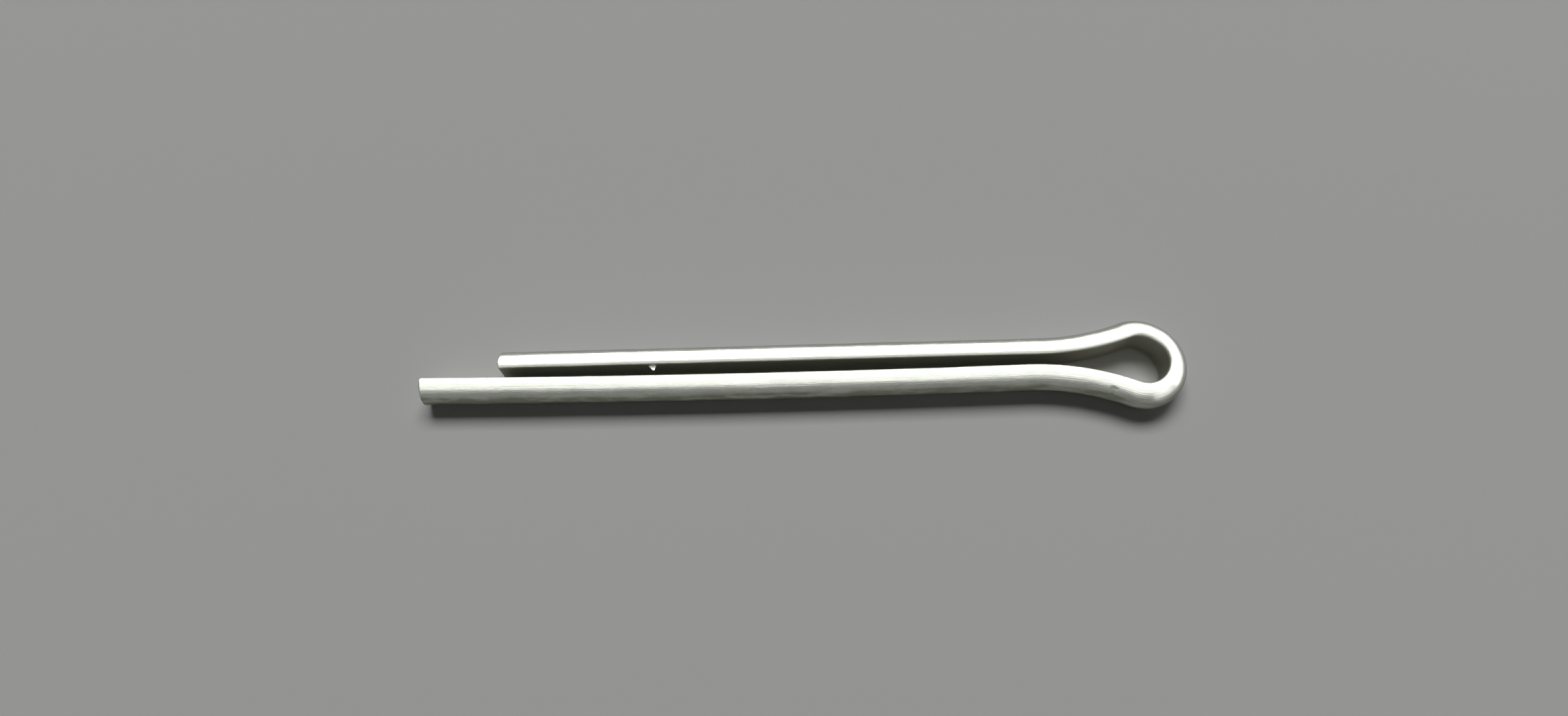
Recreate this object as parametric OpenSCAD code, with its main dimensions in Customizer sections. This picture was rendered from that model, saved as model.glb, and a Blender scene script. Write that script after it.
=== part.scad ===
// Split cotter pin, bent from one length of half-round wire.
// The wire is folded flat side to flat side: two legs that close into a round
// shank, and an eye at the fold that stops the pin in its hole.
// It lies on its side. The origin is the centre of the eye's round nose, half
// way up the wire; +X points out through the nose, +Z up through the eye, and
// the short leg is the one on the +Y side.
//
// The wire is laid as bends and one straight run, end to end. Where two of them
// meet, they share one section: same centre line, same heading.

/* [Wire] */
// Width of the half-round wire, which is also the diameter of the closed shank
wire_w = 3.8; // [2:0.1:6]
// Radius of the two rolled corners between the flat and the round
corner_r = 0.4; // [0.05:0.05:0.5]

/* [Legs] */
// Centre of the eye to the tip of the short leg
short_leg = 56.5; // [30:0.5:120]
// How far the long leg reaches past the short one
leg_step = 6.7; // [0:0.1:15]
// Gap between the two flats where the legs leave the neck
neck_gap = 0.92; // [0.1:0.02:1.5]
// Gap between the two flats at the tips
tip_gap = 0.68; // [0.1:0.02:3]
// How far the long leg bows outwards between neck and tip
long_bow = 0.22; // [0.02:0.02:0.6]
// Bevel that rounds off the sheared tips
tip_bevel = 0.15; // [0.05:0.05:0.4]

/* [Eye] */
// Inside diameter of the eye's round nose
eye_d = 4.1; // [3.2:0.1:6]
// How far the legs are set off the eye's centre, towards the short leg's side
eye_set = 0.4; // [0:0.02:0.5]
// Inside radius of the flatter crown on the short leg's side
crown_r = 3.7; // [2:0.1:6]
// Angle round the nose at which the crown starts
crown_start = 48; // [20:1:60]
// Angle that the crown turns through
crown_turn = 17; // [5:1:30]
// Inside radius of the corner where the crown turns back to the neck
crown_corner_r = 1.95; // [1.5:0.05:3]
// Radius of the flat where the eye's sides curve into the legs
shoulder_r = 24; // [12:1:40]

/* [Hidden] */
wire_r = wire_w / 2;
eye_r = eye_d / 2;
eye_c = [0, 0];
long_leg = short_leg + leg_step;
crown_end = crown_start + crown_turn;
// The tip cuts run this far past the metal
overcut = 0.5;
// Length of the bowed leg's last bend, which its bevel is cut from
tip_len = 1;
// Faces round a full circle of the section, and steps along each bend
section_faces = 96;
bend_steps = 24;
// Each bend runs on into its neighbours by this many degrees
lap = 0.000001;
// Steps that angles and places are rounded to, so that the bends meet exactly
angle_step = 0.001;
tip_step = 0.0001;
place_step = 0.001;
hair = 0.00001;

// Unit vector at an angle, and the vector square to its left
function along(angle) = [cos(angle), sin(angle)];
function left_of(angle) = [-sin(angle), cos(angle)];
function rounded(value, step) = round(value / step) * step;

// Each side of the pin is worked out with its leg towards +Y.
// back_c and back_r are the circle of the eye's curve that the shoulder joins.
// The flank is where the eye's curve and the shoulder's meet: this is its heading.
function flank_heading(neck_y, heading, back_c, back_r) = rounded(
    acos((neck_y + shoulder_r * cos(heading) - back_c.y) / (back_r + shoulder_r)),
    angle_step
);
function shoulder_centre(flank, back_c, back_r) =
    back_c + left_of(flank) * (back_r + shoulder_r);
// Where the shoulder's curve ends and the leg starts
function neck_point(shoulder_c, heading) = shoulder_c - left_of(heading) * shoulder_r;

// The short side: crown, corner and shoulder, and a leg along X
crown_c = along(crown_start) * (eye_r - crown_r);
corner_c = crown_c + along(crown_end) * (crown_r - crown_corner_r);
short_y = neck_gap / 2 + eye_set;
short_flank = flank_heading(short_y, 0, corner_c, crown_corner_r);
short_shoulder_c = shoulder_centre(short_flank, corner_c, crown_corner_r);
short_neck = neck_point(short_shoulder_c, 0);

// The long side, with the leg's bow. The chord of the bow closes from the gap at
// the neck to the gap at the tip; it starts where a leg along X would have started.
long_y = neck_gap / 2 - eye_set;
level_flank = flank_heading(long_y, 0, eye_c, eye_r);
level_neck = neck_point(shoulder_centre(level_flank, eye_c, eye_r), 0);
chord = [long_leg + level_neck.x, neck_gap - tip_gap];
half_turn = 2 * atan2(2 * long_bow, norm(chord));
long_heading = rounded(atan2(chord.y, chord.x) - half_turn, angle_step);
long_flank = flank_heading(long_y, long_heading, eye_c, eye_r);
long_shoulder_c = shoulder_centre(long_flank, eye_c, eye_r);
bow_r = round(norm(chord) / (2 * sin(half_turn)));
bow_c = neck_point(long_shoulder_c, long_heading) - left_of(long_heading) * bow_r;
tip_heading = asin((long_leg + bow_c.x) / bow_r);
tip_from = rounded(tip_heading - asin(tip_len / bow_r), tip_step);

// Moves to p by whole millimetres, then thousandths, then the rest: no digit is lost
module place(p) {
    whole = [round(p.x), round(p.y)];
    part = [rounded(p.x - whole.x, place_step), rounded(p.y - whole.y, place_step)];
    rest = p - whole - part;
    translate([whole.x, whole.y, 0])
        translate([part.x, part.y, 0])
            translate([rest.x, rest.y, 0])
                children();
}

// Half-round section: flat on the Y axis, round towards +X, corners eased.
// A corner's centre is rounded outwards, so its curve always meets the round.
module wire_section() {
    corner_reach = wire_r - corner_r;
    tangent_y = sqrt(corner_reach * corner_reach - corner_r * corner_r);
    corner_y = ceil(tangent_y / hair) * hair;
    blend = along(atan2(corner_y, corner_r)) * (wire_r + overcut);
    $fn = section_faces;
    difference() {
        intersection() {
            circle(r = wire_r);
            translate([0, -wire_r]) square([wire_r, wire_w]);
        }
        for (side = [-1, 1]) polygon([
            [-overcut, side * corner_y],
            [corner_r, side * corner_y],
            [blend.x, side * blend.y],
            [-overcut, side * (wire_r + overcut)]
        ]);
    }
    for (side = [-1, 1])
        translate([corner_r, side * corner_y]) circle(r = corner_r);
}

// Wire bent round centre c, flat at radius r, round side outwards or inwards
module bend(c, r, from, to, outwards = true) {
    turn = to - from + 2 * lap;
    place(c)
        rotate_extrude(start = from - lap, angle = turn, $fn = bend_steps * ceil(360 / turn))
            translate([r, 0]) mirror([outwards ? 0 : 1, 0]) wire_section();
}

// Bend from a leg's heading at the neck to the heading of the eye's flank
module shoulder(c, heading, flank) {
    bend(c, shoulder_r, 270 + heading, 270 + flank, outwards = false);
}

// Ring and wedge that bevel a sheared tip at point p; heading is from tip to eye
module tip_cut(p, heading) {
    low = -overcut;
    high = tip_bevel + overcut;
    place(p) rotate([90, 0, heading + 90]) {
        rotate_extrude($fn = section_faces) polygon([
            [wire_r - high, low],
            [wire_r + overcut, low],
            [wire_r + overcut, high]
        ]);
        rotate([90, 0, 0]) linear_extrude(height = 2 * wire_w, center = true)
            polygon([[low, low], [high, low], [low, high]]);
    }
}

module eye() {
    bend(eye_c, eye_r, -90 - long_flank, crown_start);
    bend(crown_c, crown_r, crown_start, crown_end);
    bend(corner_c, crown_corner_r, crown_end, 90 + short_flank);
}

module short_side() {
    shoulder(short_shoulder_c, 0, short_flank);
    difference() {
        place(short_neck) rotate([-90, 0, 90])
            linear_extrude(height = short_leg + short_neck.x) wire_section();
        tip_cut([-short_leg, short_neck.y], 0);
    }
}

// Drawn towards +Y, like the short side
module long_side() {
    shoulder(long_shoulder_c, long_heading, long_flank);
    bend(bow_c, bow_r, 90 + long_heading, 90 + tip_from);
    difference() {
        bend(bow_c, bow_r, 90 + tip_from, 90 + tip_heading);
        tip_cut(bow_c + left_of(tip_heading) * bow_r, tip_heading);
    }
}

module cotter_pin() {
    color("silver") {
        eye();
        short_side();
        mirror([0, 1, 0]) long_side();
    }
}

cotter_pin();
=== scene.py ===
# %% [markdown]
# # Cotter pin
# A cotter pin is one length of half-round steel wire, folded in the middle until
# its two flats face each other. The fold is the eye, and the two legs close into
# a shank that goes through a hole. This lesson models it the way the wire really
# runs: one half-round section is drawn, and then it is carried down the short
# leg, round the eye and back along the long leg without a break.
#
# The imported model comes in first, as a fixed frame. Its box says how big the pin
# is, and the finished wire has to stay in that box.

# %% Load the frame
import math

import bmesh
import bpy
from mathutils import Matrix, Vector
from mathutils.kdtree import KDTree


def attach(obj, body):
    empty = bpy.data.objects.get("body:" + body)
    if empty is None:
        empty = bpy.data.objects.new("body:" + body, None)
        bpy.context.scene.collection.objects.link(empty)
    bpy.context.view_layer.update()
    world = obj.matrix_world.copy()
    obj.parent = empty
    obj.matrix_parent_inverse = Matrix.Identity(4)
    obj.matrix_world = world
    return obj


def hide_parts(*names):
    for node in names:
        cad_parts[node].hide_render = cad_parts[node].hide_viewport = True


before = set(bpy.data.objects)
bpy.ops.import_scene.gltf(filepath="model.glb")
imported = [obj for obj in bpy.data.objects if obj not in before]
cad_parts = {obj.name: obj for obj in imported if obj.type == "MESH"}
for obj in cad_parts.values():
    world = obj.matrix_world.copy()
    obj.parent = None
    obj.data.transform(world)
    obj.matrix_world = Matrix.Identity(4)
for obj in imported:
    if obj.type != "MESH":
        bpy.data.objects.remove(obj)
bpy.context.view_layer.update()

MM = 0.001

# %% [markdown]
# ## The camera
# A small object that is photographed from a hand's breadth away shows strong
# perspective: the ends of the pin are seen from their inner sides. So the camera
# gets a real place and a real lens. It looks down from the long leg's side, and
# it is aimed at a point on the table beside the middle of the pin.

# %% Place the camera
CAMERA_AT = Vector((-32.482, -31.557, 91.535)) * MM
CAMERA_AIM = Vector((-31.527, 2.355, -1.881)) * MM
CAMERA_LENS = 25.19
NEAREST, FARTHEST = 0.005, 20.0

camera = bpy.data.objects.new("camera", bpy.data.cameras.new("camera"))
bpy.context.scene.collection.objects.link(camera)
bpy.context.scene.camera = camera
camera.data.lens = CAMERA_LENS
camera.data.clip_start, camera.data.clip_end = NEAREST, FARTHEST
camera.location = CAMERA_AT
camera.rotation_mode = "QUATERNION"
camera.rotation_quaternion = (CAMERA_AIM - CAMERA_AT).to_track_quat("-Z", "Y")
print("camera to aim point, mm:", round((CAMERA_AIM - CAMERA_AT).length / MM, 1))

# %% [markdown]
# ## The half-round section
# Cotter-pin wire is rolled to a half round. Its flat will be the inside of the
# fold, and the two corners beside the flat come out of the rolls slightly
# rounded. A curve with a bevel object could sweep such a section, but a mesh that
# is spun keeps every edge loop along the wire, which the worn tips and the drawn
# lines need later.
#
# The section starts as one point on the lower end of the flat, at the tip of the
# short leg. Three spins draw the lower corner, the round back and the upper
# corner, and one edge closes the flat.

# %% Helpers that select by place
def edit_mesh():
    """The mesh that is open in edit mode."""
    return bmesh.from_edit_mesh(bpy.context.edit_object.data)


def pick(kind, test):
    """Selects only the points, edges or faces ("verts", "edges", "faces") that pass."""
    bpy.ops.mesh.select_all(action="DESELECT")
    bpy.ops.mesh.select_mode(type={"verts": "VERT", "edges": "EDGE", "faces": "FACE"}[kind])
    mesh = edit_mesh()
    chosen = [item for item in getattr(mesh, kind) if test(item)]
    for item in chosen:
        item.select_set(True)
    mesh.select_flush_mode()
    bmesh.update_edit_mesh(bpy.context.edit_object.data)
    return len(chosen)


def spin(centre, turn, axis, steps):
    """Spins what is selected round a centre in mm. A positive turn is anticlockwise
    when the axis points at you; without a window, Blender counts the other way."""
    bpy.ops.mesh.spin(steps=steps, angle=-math.radians(turn), center=centre, axis=axis)


# %% Draw the section at the short leg's tip
WIRE_W = 3.8
CORNER_R = 0.4
SHORT_LEG = 56.5
NECK_GAP = 0.92
EYE_SET = 0.4
CORNER_STEPS, BACK_STEPS, FLAT_CUTS = 6, 40, 15
# Two places closer than this, in mm, are one
HAIR = 0.001

wire_r = WIRE_W / 2
corner_z = math.sqrt((wire_r - CORNER_R) ** 2 - CORNER_R ** 2)
blend = math.degrees(math.atan2(corner_z, CORNER_R))
short_y = NECK_GAP / 2 + EYE_SET
ALONG_LEG = (1, 0, 0)

bpy.ops.object.select_all(action="DESELECT")
bpy.ops.mesh.primitive_plane_add(size=1, location=(-SHORT_LEG, short_y, -corner_z))
wire = bpy.context.object
wire.name = wire.data.name = "folded_wire"
bpy.ops.object.transform_apply(location=True, rotation=True, scale=True)
bpy.ops.object.mode_set(mode="EDIT")
bpy.ops.mesh.select_all(action="SELECT")
bpy.ops.mesh.merge(type="CENTER")
bpy.ops.mesh.select_mode(type="VERT")
spin((-SHORT_LEG, short_y + CORNER_R, -corner_z), 180 - blend, ALONG_LEG, CORNER_STEPS)
spin((-SHORT_LEG, short_y, 0), 2 * blend, ALONG_LEG, BACK_STEPS)
spin((-SHORT_LEG, short_y + CORNER_R, corner_z), 180 - blend, ALONG_LEG, CORNER_STEPS)
pick("verts", lambda v: abs(v.co.y - short_y) < HAIR)
bpy.ops.mesh.edge_face_add()
bpy.ops.mesh.subdivide(number_cuts=FLAT_CUTS)
print("points round the section:", len(edit_mesh().verts))

# %% [markdown]
# ## Laying the wire
# The machine that makes these pins pushes the wire against a mandrel, wraps it
# round, and closes the two legs between dies. The lesson goes the same way: the
# section is extruded down the straight short leg, and then spun through six
# bends. Each bend starts at the section where the last one ended, and only needs
# the centre that it turns round:
#
# 1. the short leg's shoulder, a wide bend outwards,
# 2. the tight corner of the eye,
# 3. the flatter crown of the eye,
# 4. the round nose of the eye,
# 5. the long leg's shoulder,
# 6. the long leg, which bows by a fifth of a millimetre.
#
# The centres follow from a few sizes of the pin, worked out once for each side
# with its leg drawn towards +Y. The long side is then mirrored by turning the
# sign of Y.

# %% Work out the bends
LEG_STEP = 6.7
# At the long leg's tip, from its flat to the line of the short leg's flat
TIP_GAP = 0.68
LONG_BOW = 0.22
EYE_D = 4.1
CROWN_R = 3.7
CROWN_START = 48
CROWN_TURN = 17
CROWN_CORNER_R = 1.95
SHOULDER_R = 24

eye_r = EYE_D / 2
long_leg = SHORT_LEG + LEG_STEP
crown_end = CROWN_START + CROWN_TURN


def along(angle):
    """Unit vector at an angle in degrees."""
    return Vector((math.cos(math.radians(angle)), math.sin(math.radians(angle))))


def left_of(angle):
    """Unit vector square to that one, on its left."""
    return along(angle + 90)


def flank_heading(neck_y, heading, back_c, back_r):
    """Heading at which a shoulder leaves the curve of the eye, in degrees."""
    rise = neck_y + SHOULDER_R * math.cos(math.radians(heading)) - back_c.y
    return math.degrees(math.acos(rise / (back_r + SHOULDER_R)))


def shoulder_centre(flank, back_c, back_r):
    """Centre of the shoulder that meets a curve of the eye at a heading."""
    return back_c + left_of(flank) * (back_r + SHOULDER_R)


eye_c = Vector((0, 0))
crown_c = along(CROWN_START) * (eye_r - CROWN_R)
corner_c = crown_c + along(crown_end) * (CROWN_R - CROWN_CORNER_R)
short_flank = flank_heading(short_y, 0, corner_c, CROWN_CORNER_R)
short_shoulder_c = shoulder_centre(short_flank, corner_c, CROWN_CORNER_R)

long_y = NECK_GAP / 2 - EYE_SET
level_flank = flank_heading(long_y, 0, eye_c, eye_r)
chord = Vector((long_leg + shoulder_centre(level_flank, eye_c, eye_r).x, NECK_GAP - TIP_GAP))
half_turn = 2 * math.degrees(math.atan2(2 * LONG_BOW, chord.length))
long_heading = math.degrees(math.atan2(chord.y, chord.x)) - half_turn
long_flank = flank_heading(long_y, long_heading, eye_c, eye_r)
long_shoulder_c = shoulder_centre(long_flank, eye_c, eye_r)
bow_r = round(chord.length / (2 * math.sin(math.radians(half_turn))))
bow_c = long_shoulder_c - left_of(long_heading) * (SHOULDER_R + bow_r)
tip_heading = math.degrees(math.asin((long_leg + bow_c.x) / bow_r))
print("flanks leave the legs at", round(short_flank, 1), "and", round(long_flank, 1), "degrees")

# %% Extrude the leg and spin the bends
RING_STEP = 0.25
FEWEST_RINGS = 4
# The flat lies on the tight side of the eye's bends, so the rings there are spaced
# out along a line this far into the metal
IN_METAL = 1
UP = (0, 0, 1)

# Centre, turn in degrees and radius of each bend
bends = [
    (short_shoulder_c, short_flank, SHOULDER_R),
    (corner_c, crown_end - 90 - short_flank, CROWN_CORNER_R),
    (crown_c, -CROWN_TURN, CROWN_R),
    (eye_c, -CROWN_START - 90 - long_flank, eye_r),
    ((long_shoulder_c.x, -long_shoulder_c.y), long_flank - long_heading, SHOULDER_R),
    ((bow_c.x, -bow_c.y), long_heading - tip_heading, bow_r),
]

bpy.ops.mesh.select_all(action="SELECT")
straight = SHORT_LEG + short_shoulder_c.x
leg_rings = round(straight / RING_STEP)
bpy.ops.mesh.extrude_repeat(steps=leg_rings, offset=(straight / leg_rings, 0, 0))
for (x, y), turn, radius in bends:
    in_eye = radius < SHOULDER_R
    length = math.radians(abs(turn)) * (radius + IN_METAL * in_eye)
    spin((x, y, 0), turn, UP, max(FEWEST_RINGS, round(length / RING_STEP)))
print("points along the wire:", len(edit_mesh().verts))

# %% [markdown]
# ## The sheared tips
# Shears cut the wire to length. A blade leaves three marks on a cut face: a
# smooth band where it first bites, a duller and slightly hollow face where the
# metal then breaks, and a softened rim. The two open ends of the tube are filled,
# their rims are bevelled, and a grid of small faces takes the place of each flat
# cap, so that the break can be given a real surface.

# %% Cap, bevel and grid the tips
TIP_SOFTENING, RIM_STEPS = 0.16, 4
SHORT_TIP, LONG_TIP = -SHORT_LEG, -long_leg
TIP_REACH = 0.5


def open_rim(tip):
    """Selects the open edges round a tip."""
    return pick("edges", lambda e: e.is_boundary
                and all(abs(v.co.x - tip) < TIP_REACH for v in e.verts))


def flat_cap(tip):
    """Selects the one many-sided face that closes a tip."""
    return pick("faces", lambda f: len(f.verts) > BACK_STEPS
                and abs(f.calc_center_median().x - tip) < TIP_REACH)


for tip in (SHORT_TIP, LONG_TIP):
    open_rim(tip)
    bpy.ops.mesh.edge_face_add()
bpy.ops.mesh.select_all(action="SELECT")
bpy.ops.mesh.normals_make_consistent(inside=False)
for tip in (SHORT_TIP, LONG_TIP):
    flat_cap(tip)
    bpy.ops.mesh.bevel(offset=TIP_SOFTENING, segments=RIM_STEPS, affect="EDGES")
    flat_cap(tip)
    bpy.ops.mesh.delete(type="ONLY_FACE")
    open_rim(tip)
    mesh = edit_mesh()
    side = 1 if tip == SHORT_TIP else -1
    corner = min((v for v in mesh.verts if v.select),
                 key=lambda v: (round(v.co.y * side, 2), v.co.z))
    mesh.select_history.add(corner)
    bpy.ops.mesh.fill_grid(span=FLAT_CUTS + 1, use_interp_simple=True)
print("points with the tips closed:", len(edit_mesh().verts))
bpy.ops.mesh.select_all(action="SELECT")
bpy.ops.mesh.remove_doubles(threshold=HAIR)
bpy.ops.mesh.normals_make_consistent(inside=False)
print("open edges left:", pick("edges", lambda e: e.is_boundary))

# %% [markdown]
# ## A burr
# Some way down the short leg, a sliver of metal stands out from the flat into the
# gap, such as a tool can lift. Three small faces a little under the edge are inset
# and extruded, and their far end is drawn together.

# %% Lift the burr
BURR_X, BURR_Z = -43.0, 1.0
BURR_HALF, BURR_THICK = 0.38, 0.18
BURR_OUT, BURR_LEAN = 0.36, 0.04
BURR_ROOT = 0.05
# The far end of the burr shrinks to these shares of its root
BURR_POINT = (0.2, 1, 0.4)
CLEAR_OF_FLAT, CLEAR_OF_LONG_LEG = 0.04, 0.3


def under_burr(co):
    """True on the flat, where the burr stands."""
    return (abs(co.x - BURR_X) < BURR_HALF and abs(co.y - short_y) < HAIR
            and abs(co.z - BURR_Z) < BURR_THICK / 2)


print("faces under the burr:", pick("faces", lambda f: under_burr(f.calc_center_median())))
bpy.ops.mesh.inset(thickness=BURR_ROOT)
bpy.ops.mesh.extrude_region_move(TRANSFORM_OT_translate={"value": (BURR_LEAN, -BURR_OUT, 0)})
bpy.ops.transform.resize(value=BURR_POINT,
                         center_override=(BURR_X + BURR_LEAN, short_y - BURR_OUT, BURR_Z))
bpy.ops.object.mode_set(mode="OBJECT")


def on_burr(co):
    """True on the sliver that stands out of the flat."""
    return (abs(co.x - BURR_X) < 2 * BURR_HALF
            and CLEAR_OF_LONG_LEG < co.y < short_y - CLEAR_OF_FLAT)


# %% [markdown]
# ## Uneven metal
# A rolled and hand-closed wire is never a perfect shape. Its surface swells and
# sinks by a few hundredths of a millimetre, which is too little to feel, but a
# glossy surface shows it at once, because the edges of its reflections waver. A
# Displace modifier with a soft cloud texture gives that, and is then applied.
# The cut faces get a rougher one of their own, held to them by a vertex group.

# %% Add the unevenness
CUT_DEPTH = 0.06
SMOOTH_BELOW = math.radians(40)


def displace(name, size, height, group=""):
    """Moves the surface along its normals by a cloud pattern, both in mm."""
    clouds = bpy.data.textures.new(name, "CLOUDS")
    clouds.noise_scale = size
    modifier = wire.modifiers.new(name, "DISPLACE")
    modifier.texture = clouds
    modifier.texture_coords = "LOCAL"
    modifier.strength = height
    modifier.mid_level = 0.5
    modifier.vertex_group = group
    bpy.ops.object.modifier_apply(modifier=name)


def on_tip_face(co):
    """True inside the rim of either cut face."""
    return any(abs(co.x - tip) < CUT_DEPTH for tip in (SHORT_TIP, LONG_TIP))


cut_faces = wire.vertex_groups.new(name="cut_faces")
cut_faces.add([v.index for v in wire.data.vertices if on_tip_face(v.co)], 1.0, "REPLACE")
displace("long_swell", size=4.0, height=0.05)
displace("short_swell", size=1.1, height=0.012)
displace("break_grain", size=0.25, height=0.06, group="cut_faces")
bpy.ops.object.shade_smooth_by_angle(angle=SMOOTH_BELOW)

# %% [markdown]
# ## Coordinates that follow the wire
# The marks of drawing run along the wire and turn with it through the eye. So the
# wire gets a UV map of its own: U is the distance along the fold, V the distance
# round the section, both in millimetres. A line of points is laid along the
# wire's middle, and each vertex of the mesh looks up the nearest one.

# %% Map the wire
# Depth of the section's middle under its flat
HEART = 0.8
PATH_STEP = 0.1
# The line of points runs past each tip by this much
RUN_OUT = 1


def turned(arm, angle):
    """A flat vector, turned anticlockwise by an angle in degrees."""
    return Matrix.Rotation(math.radians(angle), 2) @ arm


def path_points():
    """Points and headings along the middle of the section, from tip to tip, in mm."""
    place, heading = Vector((-SHORT_LEG - RUN_OUT, short_y)), 0.0
    for centre, amount, radius in [(None, straight + RUN_OUT, 0), *bends, (None, RUN_OUT, 0)]:
        length = amount if centre is None else math.radians(abs(amount)) * radius
        steps = max(1, round(length / PATH_STEP))
        for step in range(steps + 1):
            if centre is None:
                here, now = place + along(heading) * length * step / steps, heading
            else:
                now = heading + amount * step / steps
                here = Vector(centre) + turned(place - Vector(centre), now - heading)
            if step < steps:
                yield here + left_of(now) * HEART, now
        place, heading = here, now


path = list(path_points())
distance = [0.0]
for (a, _), (b, _) in zip(path, path[1:]):
    distance.append(distance[-1] + (b - a).length)
finder = KDTree(len(path))
for index, (point, _) in enumerate(path):
    finder.insert((point.x, point.y, 0), index)
finder.balance()


def run_and_round(co):
    """Distance along the wire, and angle round its section, of a point of the mesh."""
    index = finder.find((co.x, co.y, 0))[1]
    point, heading = path[index]
    offset = Vector((co.x, co.y)) - point
    return (distance[index] + offset.dot(along(heading)),
            math.atan2(co.z, offset.dot(left_of(heading))))


places = [run_and_round(v.co) for v in wire.data.vertices]
wire_run = wire.data.uv_layers[0]
wire_run.name = "wire_run"
for face in wire.data.polygons:
    corners = [places[wire.data.loops[i].vertex_index] for i in face.loop_indices]
    angles = [angle for _, angle in corners]
    over_seam = max(angles) - min(angles) > math.pi
    for i, (run, angle) in zip(face.loop_indices, corners):
        wire_run.data[i].uv = (run, (angle + math.tau * (over_seam and angle < 0)) * wire_r)
print("wire length along its middle, mm:", round(distance[-1] - 2 * RUN_OUT, 1))

# %% [markdown]
# ## A nick
# Beside the neck, the long leg has a small nick high on its round side, such as
# a slip of a tool can leave. It is a part of one ring of points, found by its
# distance along the wire and its angle round the section, and pressed in by a
# little over a tenth of a millimetre.

# %% Press the nick in
NICK_AT = Vector((-2.97, -2.5, 0))
NICK_FROM, NICK_TO = math.radians(39), math.radians(73)
NICK_DEPTH = 0.13

nick_run = run_and_round(NICK_AT)[0]
bpy.ops.object.mode_set(mode="EDIT")
print("points under the nick:", pick("verts", lambda v: (
    abs(run_and_round(v.co)[0] - nick_run) < RING_STEP / 2
    and NICK_FROM < run_and_round(v.co)[1] < NICK_TO)))
bpy.ops.transform.shrink_fatten(value=-NICK_DEPTH)
bpy.ops.object.mode_set(mode="OBJECT")

# %% [markdown]
# ## The finish
# The wire is drawn steel with a thin, clear-passivated zinc coat: a satin metal
# with a faint green in its grey. Drawing leaves fine lines along it, and tumbling in
# a barrel leaves it softly mottled. The two flats face each other across the narrow
# gap, and their colour is darkened there as painted shade.
#
# The wire and its cut faces share two effects, so each is a node group: the lines,
# which are noise stretched along the way of the tool, and the mottled bloom. Sizes
# are in millimetres. Small nodes do the rest in each material.

# %% Helpers that build node trees
def node(tree, kind, inputs=None, **settings):
    """Adds a node. Each input is set to a value, or joined to another node's output."""
    new = tree.nodes.new(kind)
    for name, value in settings.items():
        setattr(new, name, value)
    for name, value in (inputs or {}).items():
        if isinstance(value, bpy.types.NodeSocket):
            tree.links.new(value, new.inputs[name])
        else:
            new.inputs[name].default_value = value
    return new


def maths(tree, operation, *values):
    """Adds a Math node and gives its result."""
    return node(tree, "ShaderNodeMath", dict(enumerate(values)), operation=operation).outputs[0]


def smooth_step(tree, value, low, high, to_low=0.0, to_high=1.0):
    """Takes a value that climbs from low to high softly from to_low to to_high."""
    limits = dict(enumerate((value, low, high, to_low, to_high)))
    return node(tree, "ShaderNodeMapRange", limits, interpolation_type="SMOOTHSTEP").outputs[0]


def effect(name, sizes, output):
    """Starts a shader group with a vector input, number inputs and one output."""
    group = bpy.data.node_groups.new(name, "ShaderNodeTree")
    add_socket = group.interface.new_socket
    add_socket("Vector", in_out="INPUT", socket_type="NodeSocketVector")
    for label, value in sizes.items():
        add_socket(label, in_out="INPUT", socket_type="NodeSocketFloat").default_value = value
    add_socket(output, in_out="OUTPUT", socket_type="NodeSocketFloat")
    given = group.nodes.new("NodeGroupInput").outputs
    return group, given, group.nodes.new("NodeGroupOutput").inputs


# %% Build the two shared effects
tool_lines, given, result = effect(
    "tool_lines", {"Line Length": 12.0, "Line Width": 0.15}, "Height")
split = node(tool_lines, "ShaderNodeSeparateXYZ", {0: given["Vector"]})
stretched = node(tool_lines, "ShaderNodeCombineXYZ", {
    "X": maths(tool_lines, "DIVIDE", split.outputs["X"], given["Line Length"]),
    "Y": maths(tool_lines, "DIVIDE", split.outputs["Y"], given["Line Width"])})
noise = node(tool_lines, "ShaderNodeTexNoise", {
    "Vector": stretched.outputs[0], "Scale": 1.0, "Detail": 3.0, "Roughness": 0.65})
tool_lines.links.new(noise.outputs["Fac"], result["Height"])

barrel_bloom, given, result = effect(
    "barrel_bloom", {"Patch Size": 1.2, "Contrast": 0.2}, "Mask")
noise = node(barrel_bloom, "ShaderNodeTexNoise", {
    "Vector": given["Vector"], "Detail": 5.0, "Roughness": 0.62,
    "Scale": maths(barrel_bloom, "DIVIDE", 1.0, given["Patch Size"])})
mask = smooth_step(barrel_bloom, noise.outputs["Fac"],
                   maths(barrel_bloom, "SUBTRACT", 0.5, given["Contrast"]),
                   maths(barrel_bloom, "ADD", 0.5, given["Contrast"]))
barrel_bloom.links.new(mask, result["Mask"])
print("effects:", [group.name for group in bpy.data.node_groups])

# %% [markdown]
# ## Drawn wire and cut metal
# Both materials are metal. A share that changes over the surface mixes a bright
# tone with a darker one, and sets how rough each spot is. On the wire this share
# holds painted shade as well as dull patches. The lines and a fine grain go into
# one Bump node as real heights.
#
# On the wire, the lines follow its own coordinates, and V tells how far round the
# section a spot is. So the back of the round, which faces sideways, can be painted
# darker as shade and made rougher than the shoulders beside the flats, the rolled
# corners can be rougher and grainier, and painted shade can cover the flats, which
# face each other across the gap, and stop in those corners. On a cut face, the lines
# go straight up, as the blade went.

# %% Helpers for a metal
def new_metal(name):
    """Adds a metal to the wire, and gives its node tree and its shader."""
    material = bpy.data.materials.new(name)
    material.use_nodes = True
    shader = material.node_tree.nodes["Principled BSDF"]
    shader.inputs["Metallic"].default_value = 1.0
    wire.data.materials.append(material)
    return material.node_tree, shader


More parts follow.
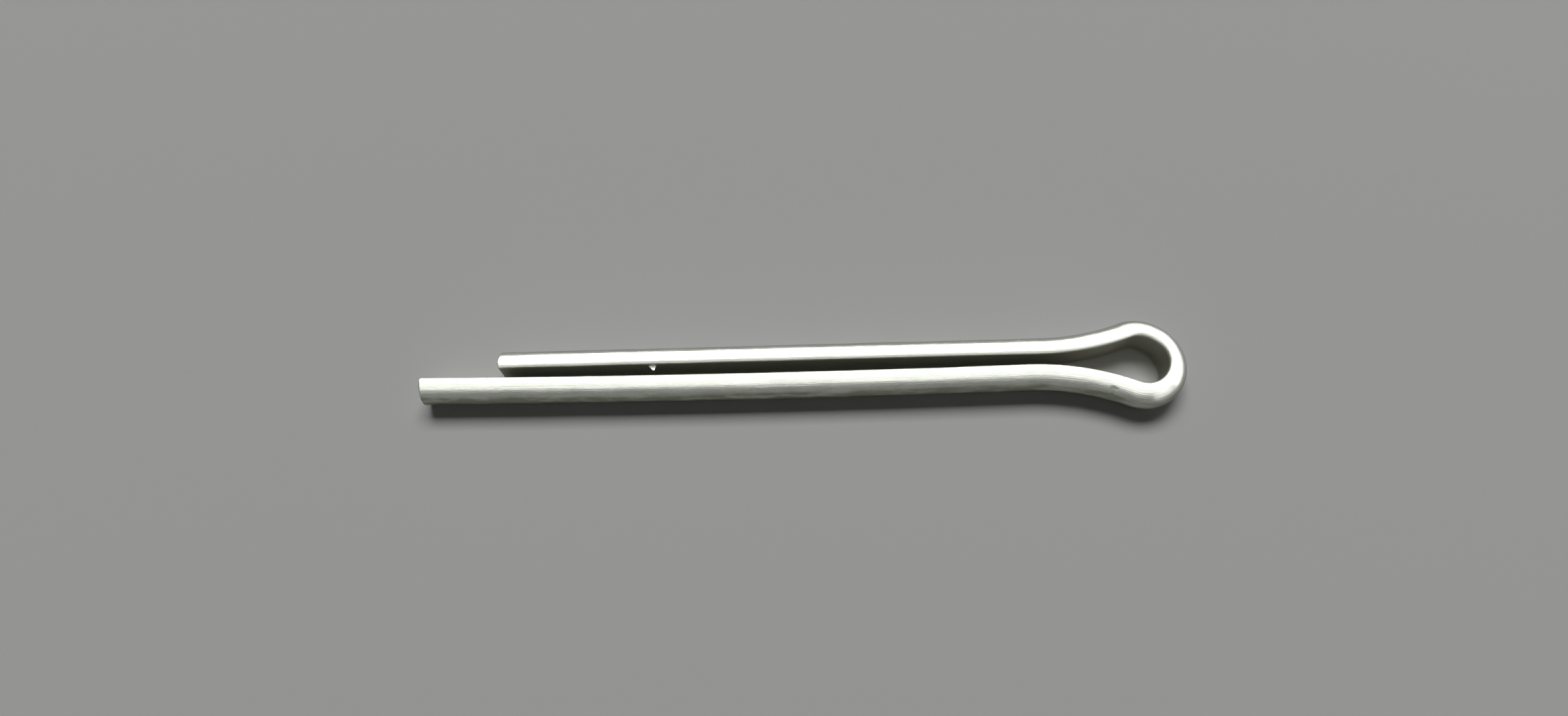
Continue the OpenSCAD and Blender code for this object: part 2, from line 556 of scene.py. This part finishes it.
def two_tones(tree, dullness_and_shade, bright, dark, smooth, rough):
    """Colour and roughness that go from a bright, smooth tone to a darker, rough one, which on the
    wire is also painted shade.
    """
    tone = node(tree, "ShaderNodeMix", {"Factor": dullness_and_shade, "A": (*bright, 1), "B": (*dark, 1)},
                data_type="RGBA")
    return tone.outputs["Result"], smooth_step(tree, dullness_and_shade, 0, 1, smooth, rough)


def raise_lines(tree, shader, lines, line_height, grain, grain_height):
    """Joins a Bump node, whose heights are in mm, to a material's shader."""
    height = maths(tree, "MULTIPLY_ADD", lines, line_height,
                   maths(tree, "MULTIPLY", grain, grain_height))
    bump = node(tree, "ShaderNodeBump", {"Height": height, "Distance": MM})
    tree.links.new(bump.outputs["Normal"], shader.inputs["Normal"])


# %% Say where the back, the edges and the flat of the wire are
# Distances round the section from the middle of its back, in mm
BACK_TO, SHOULDER_FROM = 1.1, 2.1
EDGE_FROM, EDGE_FULL = 2.7, 3.3
FLAT_FROM, FLAT_FULL = 3.75, 4.05
# How much of the back's painted shade and roughness is left at the shoulders
SHOULDER_DULLNESS_AND_SHADE = 0.2

tree, shader = new_metal("drawn_wire")
run = node(tree, "ShaderNodeUVMap", uv_map="wire_run").outputs["UV"]
way_round = maths(tree, "ABSOLUTE", node(tree, "ShaderNodeSeparateXYZ", {0: run}).outputs["Y"])
# Painted shade: the back of the round, which faces sideways, is darkened in colour against the
# shoulders, and made rougher
back_dullness_and_shade = smooth_step(tree, way_round, BACK_TO, SHOULDER_FROM, 1.0, SHOULDER_DULLNESS_AND_SHADE)
edge = smooth_step(tree, way_round, EDGE_FROM, EDGE_FULL)
# Painted shade: this mask darkens the colour of the two flats, which face each other across the
# gap
flat_shade = smooth_step(tree, way_round, FLAT_FROM, FLAT_FULL)
print("nodes that place the finish:", len(tree.nodes))

# %% Tone and gloss of the wire
# The second tone is painted shade on the back of the round as well as the tone of its dull patches
WIRE_BRIGHT, WIRE_DULL_AND_SHADE = (0.68, 0.695, 0.64), (0.25, 0.265, 0.205)
WIRE_SMOOTH, WIRE_ROUGH, EDGE_ROUGHER = 0.22, 0.27, 0.24
# Painted shade: the colour of the flats in the gap between the legs
FLAT_SHADE_TONE = (0.29, 0.29, 0.24, 1)
# The patches are drawn out along the wire. The first number below is how much of its
# painted shade and roughness the back keeps between them, and the second is how much
# duller and darker it gets on them.
PATCH_STRETCH = (0.35, 1, 1)
LEAST_DULL_AND_SHADE, MORE_DULL = 0.5, 0.8

patches = node(tree, "ShaderNodeVectorMath", {0: run, 1: PATCH_STRETCH},
               operation="MULTIPLY").outputs[0]
bloom = node(tree, "ShaderNodeGroup", {"Vector": patches}, node_tree=barrel_bloom)
mottling = maths(tree, "MULTIPLY_ADD", bloom.outputs["Mask"], MORE_DULL, LEAST_DULL_AND_SHADE)
# Painted shade on the back, times the mottling of the patches
dullness_and_shade = maths(tree, "MULTIPLY", back_dullness_and_shade, mottling)
tone, gloss = two_tones(tree, dullness_and_shade, WIRE_BRIGHT, WIRE_DULL_AND_SHADE, WIRE_SMOOTH, WIRE_ROUGH)
# Paints the shade onto the flats
flat_shaded = node(tree, "ShaderNodeMix", {"Factor": flat_shade, "A": tone, "B": FLAT_SHADE_TONE},
              data_type="RGBA")
tree.links.new(flat_shaded.outputs["Result"], shader.inputs["Base Color"])
tree.links.new(maths(tree, "MULTIPLY_ADD", edge, EDGE_ROUGHER, gloss), shader.inputs["Roughness"])
print("wire tone, from bright to dull:", WIRE_BRIGHT, WIRE_DULL_AND_SHADE)

# %% Lines and grain of the wire
LINE_HEIGHT = 0.016
GRAIN_HEIGHT, EDGE_GRAIN = 0.008, 0.02

lines = node(tree, "ShaderNodeGroup", {"Vector": run}, node_tree=tool_lines)
grain = node(tree, "ShaderNodeTexNoise", {"Vector": patches, "Scale": 7.0, "Detail": 2.0})
grain_height = maths(tree, "MULTIPLY_ADD", edge, EDGE_GRAIN, GRAIN_HEIGHT)
raise_lines(tree, shader, lines.outputs["Height"], LINE_HEIGHT, grain.outputs["Fac"], grain_height)
print("nodes in the wire's metal:", len(tree.nodes))

# %% Finish the cut faces
CUT_BRIGHT, CUT_DULL = (0.56, 0.565, 0.545), (0.42, 0.425, 0.41)
CUT_SMOOTH, CUT_ROUGH = 0.3, 0.45
SHEAR_HEIGHT, BREAK_HEIGHT = 0.02, 0.01

tree, shader = new_metal("cut_metal")
place = node(tree, "ShaderNodeTexCoord").outputs["Object"]
in_mm = node(tree, "ShaderNodeVectorMath", {0: place, "Scale": 1 / MM},
             operation="SCALE").outputs[0]
bloom = node(tree, "ShaderNodeGroup", {"Vector": in_mm}, node_tree=barrel_bloom)
tone, gloss = two_tones(tree, bloom.outputs["Mask"], CUT_BRIGHT, CUT_DULL, CUT_SMOOTH, CUT_ROUGH)
tree.links.new(tone, shader.inputs["Base Color"])
tree.links.new(gloss, shader.inputs["Roughness"])
axes = node(tree, "ShaderNodeSeparateXYZ", {0: in_mm})
upright = node(tree, "ShaderNodeCombineXYZ", {"X": axes.outputs["Z"], "Y": axes.outputs["Y"]})
lines = node(tree, "ShaderNodeGroup", {
    "Vector": upright.outputs[0], "Line Length": 2.5, "Line Width": 0.08}, node_tree=tool_lines)
grain = node(tree, "ShaderNodeTexNoise", {"Vector": in_mm, "Scale": 9.0, "Detail": 2.0})
raise_lines(tree, shader, lines.outputs["Height"], SHEAR_HEIGHT, grain.outputs["Fac"],
            BREAK_HEIGHT)
print("nodes in the cut metal:", len(tree.nodes))

# %% Share out the materials and bring the wire to its real size
for face in wire.data.polygons:
    face.material_index = int(on_tip_face(face.center) or on_burr(face.center))
wire.scale = (MM, MM, MM)
bpy.ops.object.transform_apply(location=False, rotation=False, scale=True)
print("faces of drawn and cut metal:",
      [sum(f.material_index == i for f in wire.data.polygons) for i in (0, 1)])

# %% [markdown]
# ## Table and studio
# A metal shows its surroundings more than itself, so a metal thing is lit in two
# parts. One soft lamp above and a little behind lights the plain, pale, matt table,
# and throws the short shadow on the camera's side. Around the pin stand cards:
# lamps that only reflections see. A wide one overhead, with others behind and
# beside it, gives the legs their white bands. It ends where the near flank turns
# down. From there a dim strip, and then the room, which is brightest at the level
# of the table, let the flank fall off to a darker lower edge. Round the nose of the
# eye, a card of middle tone leads from the bright side to the dim one.

# %% Lay the table
TABLE_R, TABLE_SIDES = 0.8, 96
TABLE_TONE = (0.345, 0.345, 0.34, 1)

bpy.ops.object.select_all(action="DESELECT")
bpy.ops.mesh.primitive_circle_add(vertices=TABLE_SIDES, radius=TABLE_R, fill_type="NGON",
                                  location=(0, 0, min(v.co.z for v in wire.data.vertices)))
table = bpy.context.object
table.name = "table_top"
pale = bpy.data.materials.new("pale_table")
pale.use_nodes = True
table_shader = pale.node_tree.nodes["Principled BSDF"].inputs
table_shader["Base Color"].default_value = TABLE_TONE
table_shader["Roughness"].default_value = 0.9
table_shader["Specular IOR Level"].default_value = 0.05
table.data.materials.append(pale)
print("height of the table, mm:", round(table.location.z / MM, 2))

# %% Hang the lamp and the cards
OVER_PIN = Vector((-0.03, 0, 0))


def softbox(name, width, height, place, aim, radiance, card=True):
    """A rectangular lamp, placed and aimed from over the pin. A card shows in metal,
    but lights nothing matt."""
    light = bpy.data.objects.new(name, bpy.data.lights.new(name, "AREA"))
    bpy.context.scene.collection.objects.link(light)
    light.data.shape = "RECTANGLE"
    light.data.size, light.data.size_y = width, height
    light.data.energy = radiance * math.pi * width * height
    light.location = OVER_PIN + Vector(place)
    light.rotation_mode = "QUATERNION"
    light.rotation_quaternion = (Vector(aim) - Vector(place)).to_track_quat("-Z", "Y")
    light.visible_camera = False
    light.visible_diffuse = not card


softbox("key_lamp", 2.1, 1.2, (0, 1.36, 2.67), (0, 0, 0), 11.0, card=False)
softbox("overhead_card", 1.6, 1.6, (0.1, 0.18, 0.5), (0.1, 0.18, 0), 1.65)
softbox("back_card", 3.4, 0.9, (0, 1.3, 0.45), (0, 0, 0.45), 3.6)
softbox("right_card", 1.8, 0.9, (1.2, 0.5, 0.45), (0, 0.5, 0.45), 2.0)
softbox("corner_card", 0.92, 0.75, (0.9, -0.75, 0.4), (0, 0, 0.4), 0.8)
softbox("front_strip", 2.6, 0.3, (0, -0.62, 0.33), (0, 0, 0), 0.45)

# %% Paint the room
# The tone at the level of the table, the tone overhead, and how far up, from 0 to
# 1 for straight up, the first has given way to the second
HAZE, ROOM_SHADE, HAZE_TOP = 0.36, 0.05, 0.3

room = bpy.data.worlds.new("room")
bpy.context.scene.world = room
room.use_nodes = True
upward = node(room.node_tree, "ShaderNodeSeparateXYZ", {
    0: node(room.node_tree, "ShaderNodeTexCoord").outputs["Generated"]}).outputs["Z"]
shade = smooth_step(room.node_tree, upward, 0.0, HAZE_TOP, HAZE, ROOM_SHADE)
room.node_tree.links.new(shade, room.node_tree.nodes["Background"].inputs["Color"])
bpy.context.scene.view_settings.view_transform = "Standard"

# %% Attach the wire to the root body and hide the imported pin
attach(wire, "root")
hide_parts("cotter_pin")
